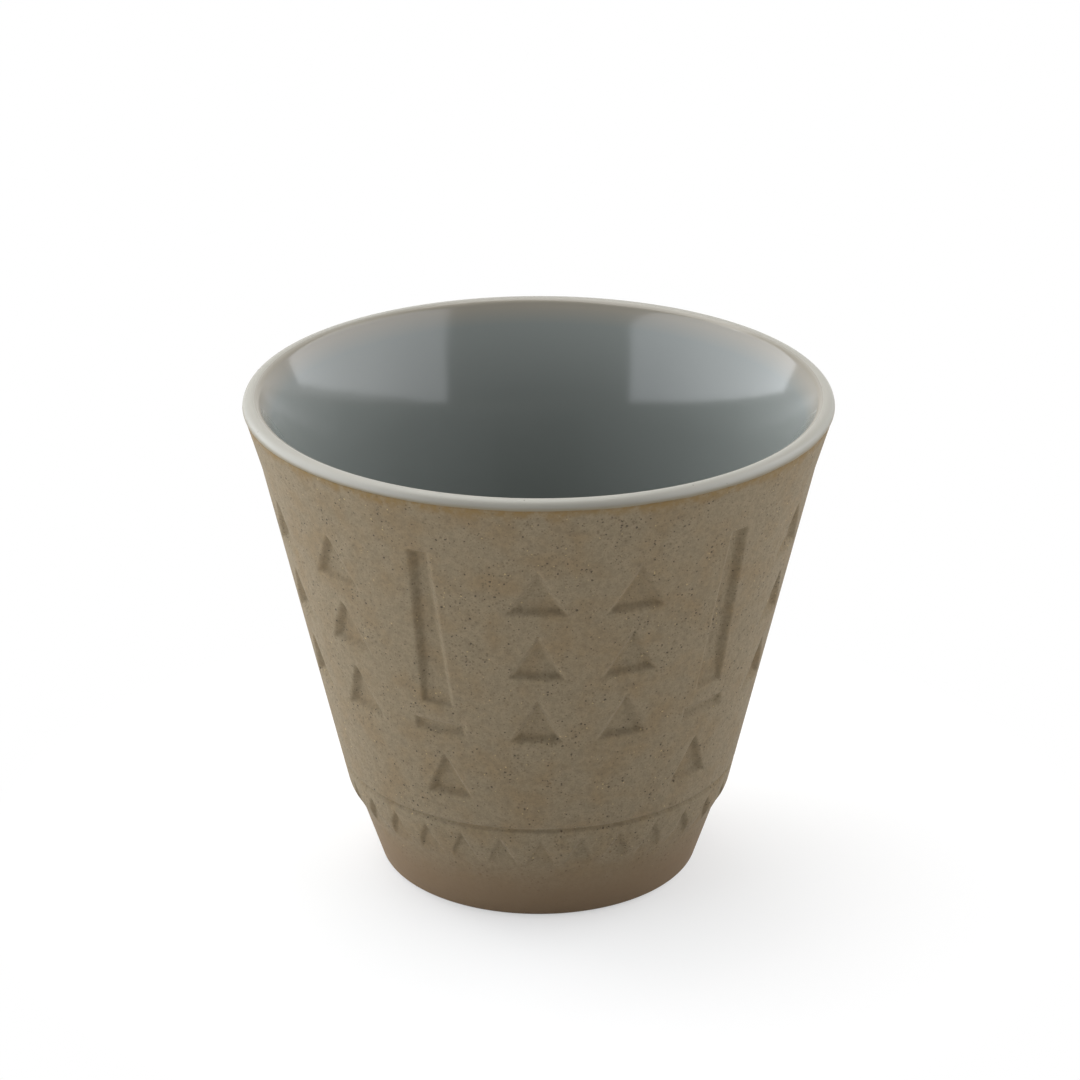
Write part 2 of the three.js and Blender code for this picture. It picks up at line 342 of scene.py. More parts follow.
stamp_points = []
stamp_kinds = []
for group in GROUP_ANGLES:
    marks = [(group, BAR_BASE, BAR_TOP - BAR_BASE, BAR),
             (group, DASH_BASE, DASH_HEIGHT, DASH),
             (group, ROW_BASES[3], TRIANGLE_HEIGHT, TRIANGLE)]
    marks += [(group + offset, base, TRIANGLE_HEIGHT, TRIANGLE)
              for offset in COLUMN_OFFSETS for base in ROW_BASES[:3]]
    for angle, base, height, kind in marks:
        stamp_points.append(unrolled(angle, base, height))
        stamp_kinds.append(kind)


def guide(name, points, **marks):
    """A mesh of loose points that carries one number for each point and mark."""
    mesh = bpy.data.meshes.new(name)
    mesh.from_pydata(points, [], [])
    for mark, values in marks.items():
        kind = "INT" if isinstance(values[0], int) else "FLOAT"
        mesh.attributes.new(mark, kind, "POINT").data.foreach_set("value", values)
    return bpy.data.objects.new(name, mesh)


stamps = guide("stamps", stamp_points, kind=stamp_kinds)
# An outline has no use for y, so its points keep their height on the cone there.
outline_points = [(p.x, mark[0], p.y) for p, mark in zip(clay_outline, clay_marks)]
clay_guide = guide("clay_outline", outline_points, mark=[mark[1] for mark in clay_marks])
print(len(stamp_points), "stamps")

# %% [markdown]
# ## Turning an outline with Geometry Nodes
#
# Two small groups do what every turned piece needs. The first makes a flat grid with one row for
# each point of an outline and hands out the angle, radius and height of each grid point, and two more
# numbers that a piece gives its points: the note, kept in y, and the mark. The second rolls the grid
# up round the axis, closes the seam and the poles, and gives it its material. What happens between
# them is up to the piece. Spin would turn the outline too, but between these two groups the wall is
# still flat, which is where a stamped pattern is easy to press in.

# %% From an outline to a grid
def new_group(name, inputs, outputs):
    """A Geometry Nodes tree with named sockets, and its input and output nodes."""
    tree = bpy.data.node_groups.new(name, "GeometryNodeTree")
    for way, sockets in (("INPUT", inputs), ("OUTPUT", outputs)):
        for socket, kind in sockets.items():
            tree.interface.new_socket(socket, in_out=way, socket_type="NodeSocket" + kind)
    return tree, add(tree, "NodeGroupInput").outputs, add(tree, "NodeGroupOutput")


def finish_group(tree, output, **sockets):
    """Links the group's output sockets, written with _ for a space."""
    for name, socket in sockets.items():
        tree.links.new(socket, output.inputs[name.replace("_", " ")])


grid_tree, given, result = new_group(
    "outline to grid",
    {"Outline": "Geometry", "Columns": "Int", "Rows": "Int"},
    {"Grid": "Geometry", "Angle": "Float", "Radius": "Float", "Note": "Float", "Height": "Float",
     "Mark": "Float"})
columns = add(grid_tree, "ShaderNodeMath", {0: given["Columns"], 1: 1.0}, operation="ADD")
grid = add(grid_tree, "GeometryNodeMeshGrid", {
    "Size X": 2 * math.pi, "Size Y": 1.0, "Vertices X": columns, "Vertices Y": given["Rows"]})
spot = add(grid_tree, "ShaderNodeSeparateXYZ", {0: add(grid_tree, "GeometryNodeInputPosition")})
steps = add(grid_tree, "ShaderNodeMath", {0: given["Rows"], 1: 1.0}, operation="SUBTRACT")
share = add(grid_tree, "ShaderNodeMath", {0: spot.outputs["Y"], 1: 0.5}, operation="ADD")
row = add(grid_tree, "ShaderNodeMath", {0: share, 1: steps}, operation="MULTIPLY")
row = add(grid_tree, "ShaderNodeMath", {0: row}, operation="ROUND")
place = add(grid_tree, "GeometryNodeSampleIndex", {
    0: given["Outline"], 1: add(grid_tree, "GeometryNodeInputPosition"), 2: row},
    data_type="FLOAT_VECTOR", domain="POINT")
place = add(grid_tree, "ShaderNodeSeparateXYZ", {0: place})
mark = add(grid_tree, "GeometryNodeInputNamedAttribute", {"Name": "mark"}, data_type="FLOAT")
mark = add(grid_tree, "GeometryNodeSampleIndex", {
    0: given["Outline"], 1: mark, 2: row}, domain="POINT")
finish_group(grid_tree, result, Grid=grid.outputs["Mesh"], Angle=spot.outputs["X"],
             Radius=place.outputs["X"], Note=place.outputs["Y"], Height=place.outputs["Z"],
             Mark=mark.outputs[0])
print(grid_tree.name, "takes", len(grid_tree.nodes), "nodes")

# %% Roll the grid up
SEAM_GAP = 0.002

roll_tree, given, result = new_group(
    "roll up",
    {"Grid": "Geometry", "Angle": "Float", "Radius": "Float", "Height": "Float",
     "Material": "Material"},
    {"Geometry": "Geometry"})
sine = add(roll_tree, "ShaderNodeMath", {0: given["Angle"]}, operation="SINE")
cosine = add(roll_tree, "ShaderNodeMath", {0: given["Angle"]}, operation="COSINE")
right = add(roll_tree, "ShaderNodeMath", {0: given["Radius"], 1: sine}, operation="MULTIPLY")
away = add(roll_tree, "ShaderNodeMath", {0: given["Radius"], 1: cosine}, operation="MULTIPLY")
toward = add(roll_tree, "ShaderNodeMath", {0: away, 1: -1.0}, operation="MULTIPLY")
round_axis = add(roll_tree, "ShaderNodeCombineXYZ", {0: right, 1: toward, 2: given["Height"]})
metres = add(roll_tree, "ShaderNodeVectorMath", {0: round_axis, "Scale": MM}, operation="SCALE")
rolled = add(roll_tree, "GeometryNodeSetPosition", {"Geometry": given["Grid"], "Position": metres})
closed = add(roll_tree, "GeometryNodeMergeByDistance", {"Geometry": rolled, "Distance": SEAM_GAP * MM})
soft = add(roll_tree, "GeometryNodeSetShadeSmooth", {"Geometry": closed})
real = add(roll_tree, "GeometryNodeRealizeInstances", {"Geometry": soft})
dressed = add(roll_tree, "GeometryNodeSetMaterial", {
    "Geometry": real, "Material": given["Material"]})
finish_group(roll_tree, result, Geometry=dressed.outputs[0])
print(roll_tree.name, "takes", len(roll_tree.nodes), "nodes")

# %% [markdown]
# ## Pressing the ornament
#
# A stamp leaves a floor with sloping sides, and soft clay rounds its brink and the foot of its sides.
# Cutting forty-five solids out of the wall would give hard edges. Here one group serves each kind of
# stamp: it lays the outlines on their points, and each grid point asks how far inside an outline it
# lies. That distance times the steepness of the side is the depth. A smooth maximum with zero rounds
# the brink, and a smooth minimum with the full depth rounds the floor.

# %% One kind of stamp
# A stamp is tilted by up to this angle, in radians, either way.
HAND_TILT = 0.02
# A point this close to a face, in millimetres, lies in it.
ON_FACE = 1e-4

stamp_tree, given, result = new_group(
    "one kind of stamp",
    {"Points": "Geometry", "Kind": "Int", "Flat": "Vector", "Foot Width": "Float", "Top Width": "Float",
     "Height": "Float", "Depth": "Float", "Steepness": "Float", "Brink Round": "Float",
     "Floor Round": "Float", "Seed": "Int"},
    {"Pressed": "Float"})
shape = add(stamp_tree, "GeometryNodeCurvePrimitiveQuadrilateral", {
    "Bottom Width": given["Foot Width"], "Top Width": given["Top Width"], "Height": given["Height"],
    "Offset": 0.0}, mode="TRAPEZOID")
kind = add(stamp_tree, "GeometryNodeInputNamedAttribute", {"Name": "kind"}, data_type="INT")
mine = add(stamp_tree, "FunctionNodeCompare", {
    2: kind, 3: given["Kind"]}, data_type="INT", operation="EQUAL")
tilt = add(stamp_tree, "FunctionNodeRandomValue", {
    0: (0, 0, -HAND_TILT), 1: (0, 0, HAND_TILT), "Seed": given["Seed"]}, data_type="FLOAT_VECTOR")
tilt = add(stamp_tree, "FunctionNodeEulerToRotation", {0: tilt})
placed = add(stamp_tree, "GeometryNodeInstanceOnPoints", {
    "Points": given["Points"], "Selection": mine, "Instance": shape, "Rotation": tilt})
outlines = add(stamp_tree, "GeometryNodeRealizeInstances", {"Geometry": placed})
faces = add(stamp_tree, "GeometryNodeFillCurve", {"Curve": outlines}, mode="NGONS")
to_edge = add(stamp_tree, "GeometryNodeProximity", {
    0: faces, 2: given["Flat"]}, target_element="EDGES")
to_face = add(stamp_tree, "GeometryNodeProximity", {
    0: faces, 2: given["Flat"]}, target_element="FACES")
outside = add(stamp_tree, "ShaderNodeMath", {
    0: to_face.outputs["Distance"], 1: ON_FACE}, operation="GREATER_THAN")
sign = add(stamp_tree, "ShaderNodeMapRange", {"Value": outside, "To Min": 1.0, "To Max": -1.0})
inside = add(stamp_tree, "ShaderNodeMath", {
    0: to_edge.outputs["Distance"], 1: sign}, operation="MULTIPLY")
side = add(stamp_tree, "ShaderNodeMath", {0: inside, 1: given["Steepness"]}, operation="MULTIPLY")
brink = add(stamp_tree, "ShaderNodeMath", {
    0: side, 1: 0.0, 2: given["Brink Round"]}, operation="SMOOTH_MAX")
pressed = add(stamp_tree, "ShaderNodeMath", {
    0: brink, 1: given["Depth"], 2: given["Floor Round"]}, operation="SMOOTH_MIN")
finish_group(stamp_tree, result, Pressed=pressed.outputs[0])
print(stamp_tree.name, "takes", len(stamp_tree.nodes), "nodes")

# %% [markdown]
# The wall's own tree unrolls the grid, shifts each stamp a little, as a hand does, and runs that group
# once for each kind. A grid point takes the deepest of the three. The long bars were pressed less at
# their base, so their depth grows with the height.

# %% The stamps on the wall
HAND_SHIFT = 0.12

press_tree, given, result = new_group(
    "stamped wall",
    {"Geometry": "Geometry", "Outline": "Object", "Columns": "Int", "Rows": "Int",
     "Unroll Radius": "Float", "Wall Lean": "Float",
     "Triangle Width": "Float", "Triangle Height": "Float", "Triangle Depth": "Float",
     "Triangle Steepness": "Float", "Blunting": "Float",
     "Dash Height": "Float", "Dash Depth": "Float", "Dash Steepness": "Float",
     "Bar Foot": "Float", "Bar Top": "Float", "Bar Height": "Float", "Bar Base": "Float",
     "Bar Fade Top": "Float", "Bar Base Depth": "Float", "Bar Depth": "Float", "Bar Steepness": "Float",
     "Brink Round": "Float", "Floor Round": "Float",
     "Fringe Depth": "Float", "Fringe Apex Depth": "Float", "Fringe Slope": "Float",
     "Fringe Rise": "Float", "Fringe Half Pitch": "Float", "Fringe Shift": "Float",
     "Fringe Apex": "Float", "Fringe Half Apex": "Float", "Seed": "Int", "Material": "Material"},
    {"Geometry": "Geometry"})
drawn = add(press_tree, "GeometryNodeObjectInfo", {"Object": given["Outline"]}).outputs["Geometry"]
turned = add(press_tree, "GeometryNodeGroup", {
    "Outline": drawn, "Columns": given["Columns"], "Rows": given["Rows"]}, node_tree=grid_tree)
wide = add(press_tree, "ShaderNodeMath", {
    0: turned.outputs["Angle"], 1: given["Unroll Radius"]}, operation="MULTIPLY")
flat = add(press_tree, "ShaderNodeCombineXYZ", {0: wide, 1: turned.outputs["Note"]})

shift = add(press_tree, "FunctionNodeRandomValue", {
    0: (-HAND_SHIFT, -HAND_SHIFT, 0), 1: (HAND_SHIFT, HAND_SHIFT, 0), "Seed": given["Seed"]},
    data_type="FLOAT_VECTOR")
points = add(press_tree, "GeometryNodeSetPosition", {
    "Geometry": given["Geometry"], "Offset": shift})
bar_depth = add(press_tree, "ShaderNodeMapRange", {
    "Value": turned.outputs["Note"], "From Min": given["Bar Base"], "From Max": given["Bar Fade Top"],
    "To Min": given["Bar Base Depth"], "To Max": given["Bar Depth"]})
pressed = 0.0
for kind, stamp, foot_width, top_width, depth in (
        (TRIANGLE, "Triangle", "Triangle Width", "Blunting", given["Triangle Depth"]),
        (DASH, "Dash", "Triangle Width", "Triangle Width", given["Dash Depth"]),
        (BAR, "Bar", "Bar Foot", "Bar Top", bar_depth)):
    marks = add(press_tree, "GeometryNodeGroup", {
        "Points": points, "Kind": kind, "Flat": flat, "Foot Width": given[foot_width],
        "Top Width": given[top_width], "Height": given[stamp + " Height"], "Depth": depth,
        "Steepness": given[stamp + " Steepness"], "Brink Round": given["Brink Round"],
        "Floor Round": given["Floor Round"], "Seed": given["Seed"]}, node_tree=stamp_tree)
    pressed = add(press_tree, "ShaderNodeMath", {0: marks, 1: pressed}, operation="MAXIMUM")
print(len(press_tree.nodes), "nodes press the stamps")

# %% [markdown]
# The sawtooth band over the foot is a row of notches, wide at the bottom and pointed at the top. It
# needs no shapes: a ping-pong of the angle gives the distance to its slanting edges directly. Last,
# every point moves in along the wall's own normal, and only by what the foot and the groove have left.

# %% The sawtooth band, and the wall rolled up
shifted = add(press_tree, "ShaderNodeMath", {0: wide, 1: given["Fringe Shift"]}, operation="SUBTRACT")
from_apex = add(press_tree, "ShaderNodeMath", {
    0: shifted, 1: given["Fringe Half Pitch"]}, operation="PINGPONG")
under_apex = add(press_tree, "ShaderNodeMath", {
    0: given["Fringe Apex"], 1: turned.outputs["Note"]}, operation="SUBTRACT")
apex_sine = add(press_tree, "ShaderNodeMath", {0: given["Fringe Half Apex"]}, operation="SINE")
apex_cosine = add(press_tree, "ShaderNodeMath", {0: given["Fringe Half Apex"]}, operation="COSINE")
down_part = add(press_tree, "ShaderNodeMath", {0: under_apex, 1: apex_sine}, operation="MULTIPLY")
side_part = add(press_tree, "ShaderNodeMath", {0: from_apex, 1: apex_cosine}, operation="MULTIPLY")
in_fringe = add(press_tree, "ShaderNodeMath", {0: down_part, 1: side_part}, operation="SUBTRACT")
fringe_depth = add(press_tree, "ShaderNodeMapRange", {
    "Value": under_apex, "From Max": given["Fringe Rise"], "To Min": given["Fringe Apex Depth"],
    "To Max": given["Fringe Depth"]})
fringe = add(press_tree, "ShaderNodeMapRange", {
    "Value": in_fringe, "From Min": 0.0, "From Max": given["Fringe Slope"],
    "To Min": 0.0, "To Max": fringe_depth}, interpolation_type="SMOOTHSTEP")

pressed = add(press_tree, "ShaderNodeMath", {0: pressed, 1: fringe}, operation="MAXIMUM")
deepest = add(press_tree, "ShaderNodeMath", {
    0: pressed, 1: turned.outputs["Mark"]}, operation="MAXIMUM")
extra = add(press_tree, "ShaderNodeMath", {
    0: deepest, 1: turned.outputs["Mark"]}, operation="SUBTRACT")
lean_cosine = add(press_tree, "ShaderNodeMath", {0: given["Wall Lean"]}, operation="COSINE")
lean_sine = add(press_tree, "ShaderNodeMath", {0: given["Wall Lean"]}, operation="SINE")
inward = add(press_tree, "ShaderNodeMath", {0: extra, 1: lean_cosine}, operation="MULTIPLY")
upward = add(press_tree, "ShaderNodeMath", {0: extra, 1: lean_sine}, operation="MULTIPLY")
radius = add(press_tree, "ShaderNodeMath", {
    0: turned.outputs["Radius"], 1: inward}, operation="SUBTRACT")
height = add(press_tree, "ShaderNodeMath", {
    0: turned.outputs["Height"], 1: upward}, operation="ADD")
rolled = add(press_tree, "GeometryNodeGroup", {
    "Grid": turned.outputs["Grid"], "Angle": turned.outputs["Angle"], "Radius": radius,
    "Height": height, "Material": given["Material"]}, node_tree=roll_tree)
finish_group(press_tree, result, Geometry=rolled.outputs[0])
print(len(press_tree.nodes), "nodes in all make the stamped wall")

# %% [markdown]
# ## Unglazed stoneware
#
# Stoneware fired in reduction: a sandy grey-brown body, blotched and mottled, with iron specks, rusty
# spots and pale grains in it, a browner foot with painted shade that darkens it towards the table, and
# a warm flash where the glaze ends. The surface is matt and faintly gritty. A photographed texture
# would need a picture and a seam. Noise on Object coordinates gives the same clay all round, and every
# size in it is a size on the cup.

# %% Body of the clay
def new_material(name):
    """A material with nodes, its tree and its shader."""
    material = bpy.data.materials.new(name)
    material.use_nodes = True
    tree = material.node_tree
    return material, tree, tree.nodes["Principled BSDF"]


CLAY = "#82745C"
CLAY_WARM = "#7F6B4D"
CLAY_DARK = "#655944"
BLOTCH = 5.0
MOTTLE = 0.9
# The real grain is about a tenth of a millimetre. It is drawn coarser here, so that it shows.
GRAIN = 0.28

# Fired clay without a glaze scatters light, so the eye gets its colour and grain, and no mirror image.
stoneware, tree, shader = new_material("unglazed_stoneware")
here = add(tree, "ShaderNodeTexCoord").outputs["Object"]
blotch = add(tree, "ShaderNodeTexNoise", {"Vector": here, "Scale": per_mm(BLOTCH), "Detail": 3.0})
blotch = add(tree, "ShaderNodeMapRange", {
    "Value": blotch, "From Min": 0.45, "From Max": 0.7, "To Max": 0.7})
colour = add(tree, "ShaderNodeMix", {
    0: blotch, 6: linear(CLAY), 7: linear(CLAY_WARM)}, data_type="RGBA").outputs[2]
mottle_noise = add(tree, "ShaderNodeTexNoise", {
    "Vector": here, "Scale": per_mm(MOTTLE), "Detail": 4.0})
mottle = add(tree, "ShaderNodeMapRange", {
    "Value": mottle_noise, "From Min": 0.4, "From Max": 0.75, "To Max": 0.55})
colour = add(tree, "ShaderNodeMix", {
    0: mottle, 6: colour, 7: linear(CLAY_DARK)}, data_type="RGBA").outputs[2]
grain = add(tree, "ShaderNodeTexNoise", {"Vector": here, "Scale": per_mm(GRAIN), "Detail": 2.0})
grain = add(tree, "ShaderNodeMapRange", {
    "Value": grain, "From Min": 0.45, "From Max": 0.75, "To Max": 0.6})
colour = add(tree, "ShaderNodeMix", {
    0: grain, 6: colour, 7: linear(CLAY_DARK)}, data_type="RGBA").outputs[2]
print("the body takes", len(tree.nodes), "nodes")

# %% [markdown]
# Specks are iron grains that melted and bled in the firing, so no two are alike. Each lies in a cell of
# a Voronoi pattern that draws its own size. A fine noise pulls the pattern about, so that no speck is a
# clean disc, and a slow noise crowds the specks in some places.

# %% Specks in the clay
IRON = "#2E261D"
PALE_GRAIN = "#B09A6C"
RUST = "#5A4429"
IRON_SPACING = 0.7
PALE_SPACING = 0.8
RUST_SPACING = 2.2
# Real dust is finer than a pixel of the render, so it is drawn coarser, and in a paler colour.
DUST_SPACING = 0.5
RAGGED = 0.35
CROWD = 4.0
SPECK_EDGE = 0.05


def specks(tree, where, spacing, empty, size, crowd, strength):
    """Specks up to a size, in cells of a pattern, of which a share stays empty."""
    cells = add(tree, "ShaderNodeTexVoronoi", {"Vector": where, "Scale": per_mm(spacing)})
    chance = add(tree, "ShaderNodeSeparateColor", {0: cells.outputs["Color"]})
    reach = add(tree, "ShaderNodeMapRange", {
        "Value": chance.outputs[0], "From Min": empty, "From Max": 1.0, "To Max": size})
    reach = add(tree, "ShaderNodeMath", {0: reach, 1: crowd}, operation="MULTIPLY")
    inside = add(tree, "ShaderNodeMath", {
        0: reach, 1: cells.outputs["Distance"]}, operation="SUBTRACT")
    return add(tree, "ShaderNodeMapRange", {
        "Value": inside, "From Max": SPECK_EDGE, "To Max": strength})


ragged = add(tree, "ShaderNodeTexNoise", {"Vector": here, "Scale": per_mm(RAGGED), "Detail": 2.0})
ragged = add(tree, "ShaderNodeVectorMath", {
    0: ragged.outputs["Color"], 1: (0.5, 0.5, 0.5)}, operation="SUBTRACT")
ragged = add(tree, "ShaderNodeVectorMath", {
    0: ragged, 1: (RAGGED * MM, RAGGED * MM, RAGGED * MM), 2: here}, operation="MULTIPLY_ADD")
crowd = add(tree, "ShaderNodeTexNoise", {"Vector": here, "Scale": per_mm(CROWD), "Detail": 2.0})
crowd = add(tree, "ShaderNodeMapRange", {
    "Value": crowd, "From Min": 0.35, "From Max": 0.65, "To Min": 0.6, "To Max": 1.2})
# Each row: spacing, share of empty cells, largest size in cells, colour and strength.
for spacing, empty, size, speck_colour, strength in (
        (DUST_SPACING, 0.2, 0.4, CLAY_DARK, 0.9),
        (IRON_SPACING, 0.2, 0.28, IRON, 0.75),
        (RUST_SPACING, 0.3, 0.13, RUST, 0.6),
        (PALE_SPACING, 0.5, 0.2, PALE_GRAIN, 0.6)):
    speck = specks(tree, ragged, spacing, empty, size, crowd, strength)
    colour = add(tree, "ShaderNodeMix", {
        0: speck, 6: colour, 7: linear(speck_colour)}, data_type="RGBA").outputs[2]
print("with its specks it takes", len(tree.nodes), "nodes")

# %% [markdown]
# The bare foot is browner, and painted shade darkens it towards the table, where less light reaches it.
# Fumes from the glaze left a warm, patchy flash just under its edge. Both depend only on the height, so
# the Z of the Object coordinates places them, and a noise makes the flash waver. Grit stays a bump,
# because it is far too fine for the mesh.

# %% Foot, flash and grit
# The foot's colour: its own browner clay, with painted shade that darkens it towards the table.
FOOT_CLAY_AND_SHADE = "#766148"
FLASH = "#79623B"
FOOT_SHADE_FULL_HEIGHT = 3
FLASH_WAVE = 5.0
FLASH_WAVER = 0.6
FLASH_START_BELOW_RIM = 3.3
FLASH_FULL_BELOW_RIM = 1.7
GRIT = 0.45
GRIT_DEPTH = 0.06
CLAY_ROUGHNESS = 0.88

up = add(tree, "ShaderNodeSeparateXYZ", {0: here}).outputs["Z"]
# Painted shade: the foot turns browner and darker from the step down to the table.
foot_tone_and_shade = add(tree, "ShaderNodeMapRange", {
    "Value": up, "From Min": FOOT_STEP_TOP * MM, "From Max": FOOT_SHADE_FULL_HEIGHT * MM, "To Max": 0.9},
    interpolation_type="SMOOTHSTEP")
colour = add(tree, "ShaderNodeMix", {
    0: foot_tone_and_shade, 6: colour, 7: linear(FOOT_CLAY_AND_SHADE)}, data_type="RGBA").outputs[2]
waver = add(tree, "ShaderNodeTexNoise", {
    "Vector": here, "Scale": per_mm(FLASH_WAVE), "Detail": 3.0})
waver = add(tree, "ShaderNodeMapRange", {
    "Value": waver, "From Min": 0.3, "From Max": 0.7, "To Min": -FLASH_WAVER * MM,
    "To Max": FLASH_WAVER * MM})
flash_height = add(tree, "ShaderNodeMath", {0: up, 1: waver}, operation="ADD")
patchy = add(tree, "ShaderNodeMapRange", {
    "Value": mottle_noise, "From Min": 0.35, "From Max": 0.65, "To Min": 0.3, "To Max": 1.0})
flash = add(tree, "ShaderNodeMapRange", {
    "Value": flash_height, "From Min": (cup_height - FLASH_START_BELOW_RIM) * MM,
    "From Max": (cup_height - FLASH_FULL_BELOW_RIM) * MM, "To Max": patchy},
    interpolation_type="SMOOTHSTEP")
colour = add(tree, "ShaderNodeMix", {
    0: flash, 6: colour, 7: linear(FLASH)}, data_type="RGBA").outputs[2]

grit = add(tree, "ShaderNodeTexNoise", {"Vector": here, "Scale": per_mm(GRIT), "Detail": 3.0})
bump = add(tree, "ShaderNodeBump", {"Strength": 0.35, "Distance": GRIT_DEPTH * MM, "Height": grit})
tree.links.new(colour, shader.inputs["Base Color"])
tree.links.new(bump.outputs[0], shader.inputs["Normal"])
shader.inputs["Roughness"].default_value = CLAY_ROUGHNESS
print(stoneware.name, "has", len(tree.nodes), "nodes in all")

# %% [markdown]
# ## The clay cup
#
# The stamps' points become the clay cup: the tree runs as a modifier on them. The grid is much finer
# than the flat parts of the wall need, so a Decimate modifier thins those and keeps the edges of
# the stamps. The result is copied to a plain mesh that replaces the solid of the clay.
#
# Widths across the wall are turns round the cup in degrees, depths and rounds are millimetres.

# %% Sizes of the ornament
TRIANGLE_TURN = 13.5
TRIANGLE_BLUNTING = 0.3
TRIANGLE_DEPTH = 0.95
TRIANGLE_SLOPE = math.radians(48)
DASH_DEPTH = 0.75
DASH_SLOPE = math.radians(44)
BAR_FOOT_TURN = 8.2
BAR_TOP_TURN = 4.5
BAR_DEPTH = 1.05
BAR_BASE_DEPTH = 0.6
BAR_FADE = 6
BAR_SLOPE = math.radians(50)
STAMP_BRINK_ROUND = 0.4
STAMP_FLOOR_ROUND = 0.45
FRINGE_COUNT = 31
FRINGE_FIRST_ANGLE = 0.6
FRINGE_TIP = 11.0
FRINGE_APEX = 16.8
FRINGE_DEPTH = 0.95
FRINGE_APEX_DEPTH = 0.4
FRINGE_SLOPE = 1.0

fringe_pitch = 360 / FRINGE_COUNT * across
fringe_rise = FRINGE_APEX - FRINGE_TIP
print(f"{FRINGE_COUNT} teeth, {fringe_pitch:.2f} mm apart and {fringe_rise:.1f} mm high")

# %% Make the clay cup
COLUMNS = 1200
CLAY_TRIANGLES = 185000
STAMP_SEED = 7


def run_tree(piece, tree, **sizes):
    """Adds the tree as a modifier and sets its inputs by their identifiers."""
    modifier = piece.modifiers.new(tree.name, "NODES")
    modifier.node_group = tree
    names = {s.name: s.identifier for s in tree.interface.items_tree if s.in_out == "INPUT"}
    for name, value in sizes.items():
        modifier[names[name.replace("_", " ")]] = value


def to_mesh(piece):
    """Replaces a piece's mesh by what its modifiers make of it."""
    graph = bpy.context.evaluated_depsgraph_get()
    mesh = bpy.data.meshes.new_from_object(piece.evaluated_get(graph))
    piece.modifiers.clear()
    piece.data = mesh
    mesh.name = piece.name
    triangles = sum(len(p.vertices) - 2 for p in mesh.polygons)
    print(piece.name, len(mesh.vertices), "points", triangles, "triangles")


clay_cup = stamps
clay_cup.name = "clay_cup"
bpy.context.scene.collection.objects.link(clay_cup)
run_tree(
    clay_cup, press_tree, Outline=clay_guide, Columns=COLUMNS, Rows=len(clay_outline),
    Unroll_Radius=UNROLL_RADIUS, Wall_Lean=wall_lean,
    Triangle_Width=TRIANGLE_TURN * across, Triangle_Height=TRIANGLE_HEIGHT,
    Triangle_Depth=TRIANGLE_DEPTH, Triangle_Steepness=math.tan(TRIANGLE_SLOPE),
    Blunting=TRIANGLE_BLUNTING,
    Dash_Height=DASH_HEIGHT, Dash_Depth=DASH_DEPTH, Dash_Steepness=math.tan(DASH_SLOPE),
    Bar_Foot=BAR_FOOT_TURN * across, Bar_Top=BAR_TOP_TURN * across, Bar_Height=BAR_TOP - BAR_BASE,
    Bar_Base=BAR_BASE, Bar_Fade_Top=BAR_BASE + BAR_FADE, Bar_Base_Depth=BAR_BASE_DEPTH,
    Bar_Depth=BAR_DEPTH, Bar_Steepness=math.tan(BAR_SLOPE),
    Brink_Round=STAMP_BRINK_ROUND, Floor_Round=STAMP_FLOOR_ROUND,
    Fringe_Depth=FRINGE_DEPTH, Fringe_Apex_Depth=FRINGE_APEX_DEPTH, Fringe_Slope=FRINGE_SLOPE,
    Fringe_Rise=fringe_rise, Fringe_Half_Pitch=fringe_pitch / 2,
    Fringe_Shift=FRINGE_FIRST_ANGLE * across, Fringe_Apex=FRINGE_APEX,
    Fringe_Half_Apex=math.atan2(fringe_pitch / 2, fringe_rise),
    Seed=STAMP_SEED, Material=stoneware)
thin = clay_cup.modifiers.new("thin the flat parts", "DECIMATE")
thin.ratio = CLAY_TRIANGLES / (2 * COLUMNS * (len(clay_outline) - 1))
to_mesh(clay_cup)
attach(clay_cup, "root")
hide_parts("stoneware_body")

# %% [markdown]
# ## The outline of the glaze
#
# The glaze is a layer of glass about 0.15 mm thick. The cup was dipped upside down or poured out, so
# the coat runs over the lip and ends on its outer round, a little thinner. A colour painted on the
# clay would give no edge. Here the coat is a closed shell: its outline goes along the clay from the
# floor over the lip, and back along its own surface. Each point notes how thin the coat looks there,
# for the colour, and marks how much the wavering edge moves it.

# %% Rows of the glaze
GLAZE_FLOOR_ROWS = 5
GLAZE_CORNER_ROWS = 12
GLAZE_RISE_ROWS = 12
GLAZE_FLARE_ROWS = 20
GLAZE_INNER_LIP_ROWS = 10
GLAZE_LIP_ROWS = 12
# Angles on the round of the lip: where the coat starts to thin, and to show the clay through it.
THINNING_ANGLE = 0.75
FADING_ANGLE = 0.5
# The coat also breaks a little over the inner round of the lip.
BREAK_ANGLE = math.radians(128)
BREAK_SPREAD = 0.3
BREAK_SHARE = 0.3
# A point this much past the coat still counts as on it.
ON_SURFACE = 0.01


def lining(offset):
    """The surface of the floor and the inner wall, moved off the clay."""
    radii = np.linspace(0, corner.x, GLAZE_FLOOR_ROWS)[:-1]
    floor_rows = [Vector((r, FLOOR_HEIGHT + offset)) for r in radii]
    corner_rows = arc(corner, FLOOR_CORNER - offset, -math.pi / 2, -inner_lean, GLAZE_CORNER_ROWS)
    flare_rows = arc(inner_flare, INNER_FLARE_ROUND + offset, flare_bottom, flare_top,
                     GLAZE_FLARE_ROWS)[:-1]
    shares = np.linspace(0, 1, GLAZE_RISE_ROWS)[1:-1]
    rise = [corner_rows[-1].lerp(flare_rows[0], t) for t in shares]
    return floor_rows + corner_rows + rise + flare_rows


